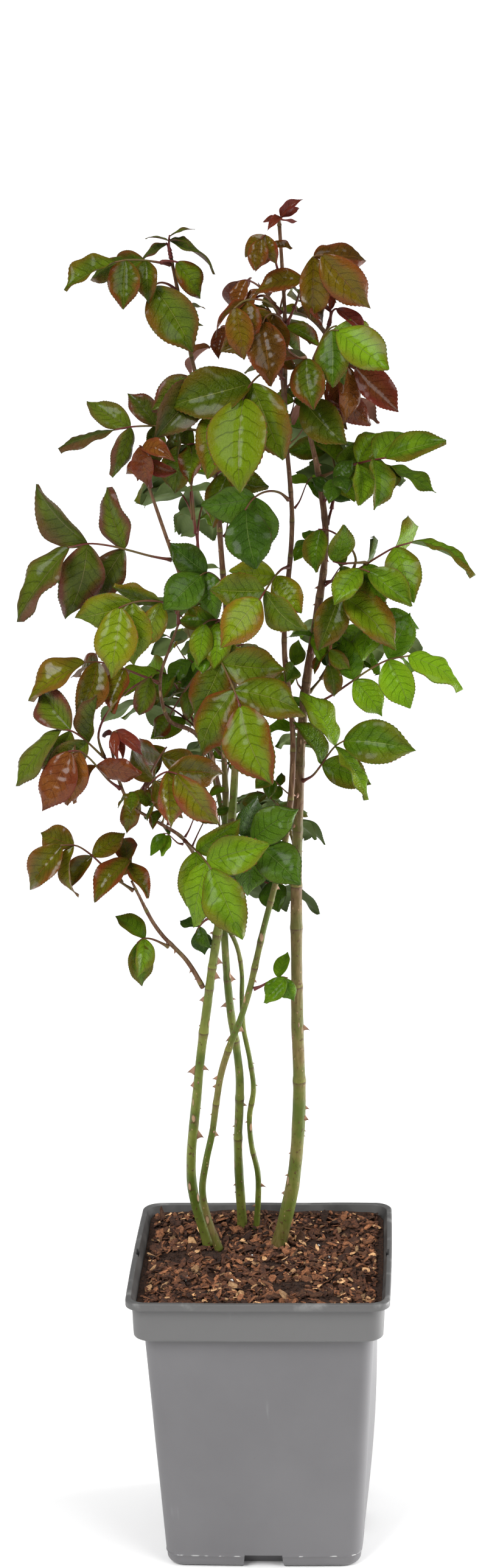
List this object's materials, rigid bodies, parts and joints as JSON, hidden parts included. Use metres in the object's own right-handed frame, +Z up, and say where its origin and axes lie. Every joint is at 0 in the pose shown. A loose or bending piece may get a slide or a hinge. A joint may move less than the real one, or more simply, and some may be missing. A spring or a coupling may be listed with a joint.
{
  "type": "rose bush",
  "caption": "Tall climbing rose in a square tapering pot: thorny canes rise bare from bark mulch and carry loose sprays of toothed, glossy compound leaves.",
  "frame": {"origin": "centre of the pot's flat underside, on the surface it stands on", "axes": "+Z up along the canes; -Y is the front, with the flat front wall of the pot; +X to the right seen from the front"},
  "size_m": [0.3774, 0.2869, 1.1515],
  "materials": {
    "pot": "satin grey moulded plastic, scuffed",
    "mix": "loose bark chips and peat with a few white grains",
    "cane": "matt green bark with brown thorns and corky scars",
    "green": "glossy mid-green leaves",
    "dark": "glossy dark green leaves",
    "lime": "soft yellow-green young leaves",
    "bronze": "glossy olive-bronze young leaves",
    "red": "wine-red shoot tips"
  },
  "bodies": {
    "root": {"pot": "pot", "potting_mix": "mix", "cane_left": "cane", "cane_middle": "cane", "cane_back": "cane", "cane_thin": "cane", "cane_main": "cane", "shoot_left": "cane", "shoot_low_left": "cane", "shoot_back": "cane", "spray_crown_tip": "red", "spray_top_left": "red", "spray_high_left": "green", "spray_far_high_left": "green", "spray_high_left_hanging": "green", "spray_left_shoulder": "green", "spray_left_drooping": "bronze", "spray_hung_left": "bronze", "spray_left_dark": "dark", "spray_high_right": "bronze", "spray_puckered": "bronze", "spray_left_red": "red", "spray_right_bud": "red", "spray_right_front": "green", "spray_right_drooping": "bronze", "spray_right_inner": "green", "spray_centre_big": "green", "spray_right_middle": "green", "spray_far_left": "green", "spray_left_lime": "lime", "spray_left_small": "bronze", "spray_centre_left": "dark", "spray_centre_upper": "dark", "spray_centre_round": "dark", "spray_centre_pair": "lime", "spray_centre_inner": "green", "spray_front_centre": "lime", "spray_far_right": "green", "spray_right_under": "lime", "spray_right_lower": "lime", "spray_right_low": "green", "spray_red_sprout": "red", "spray_low_far_left": "green", "spray_glossy_left": "bronze", "spray_big_bronze": "bronze", "spray_low_centre": "green", "spray_centre_low": "dark", "spray_low_left": "bronze", "spray_low_twig": "green", "spray_low_inner": "dark", "spray_low_right": "green", "spray_back_low": "dark", "spray_back_left": "green", "spray_back_left_high": "green", "spray_back_centre": "lime", "spray_back_right": "lime", "spray_back_right_low": "green", "spray_back_right_high": "green", "spray_back_top": "bronze"}
  },
  "joints": []
}
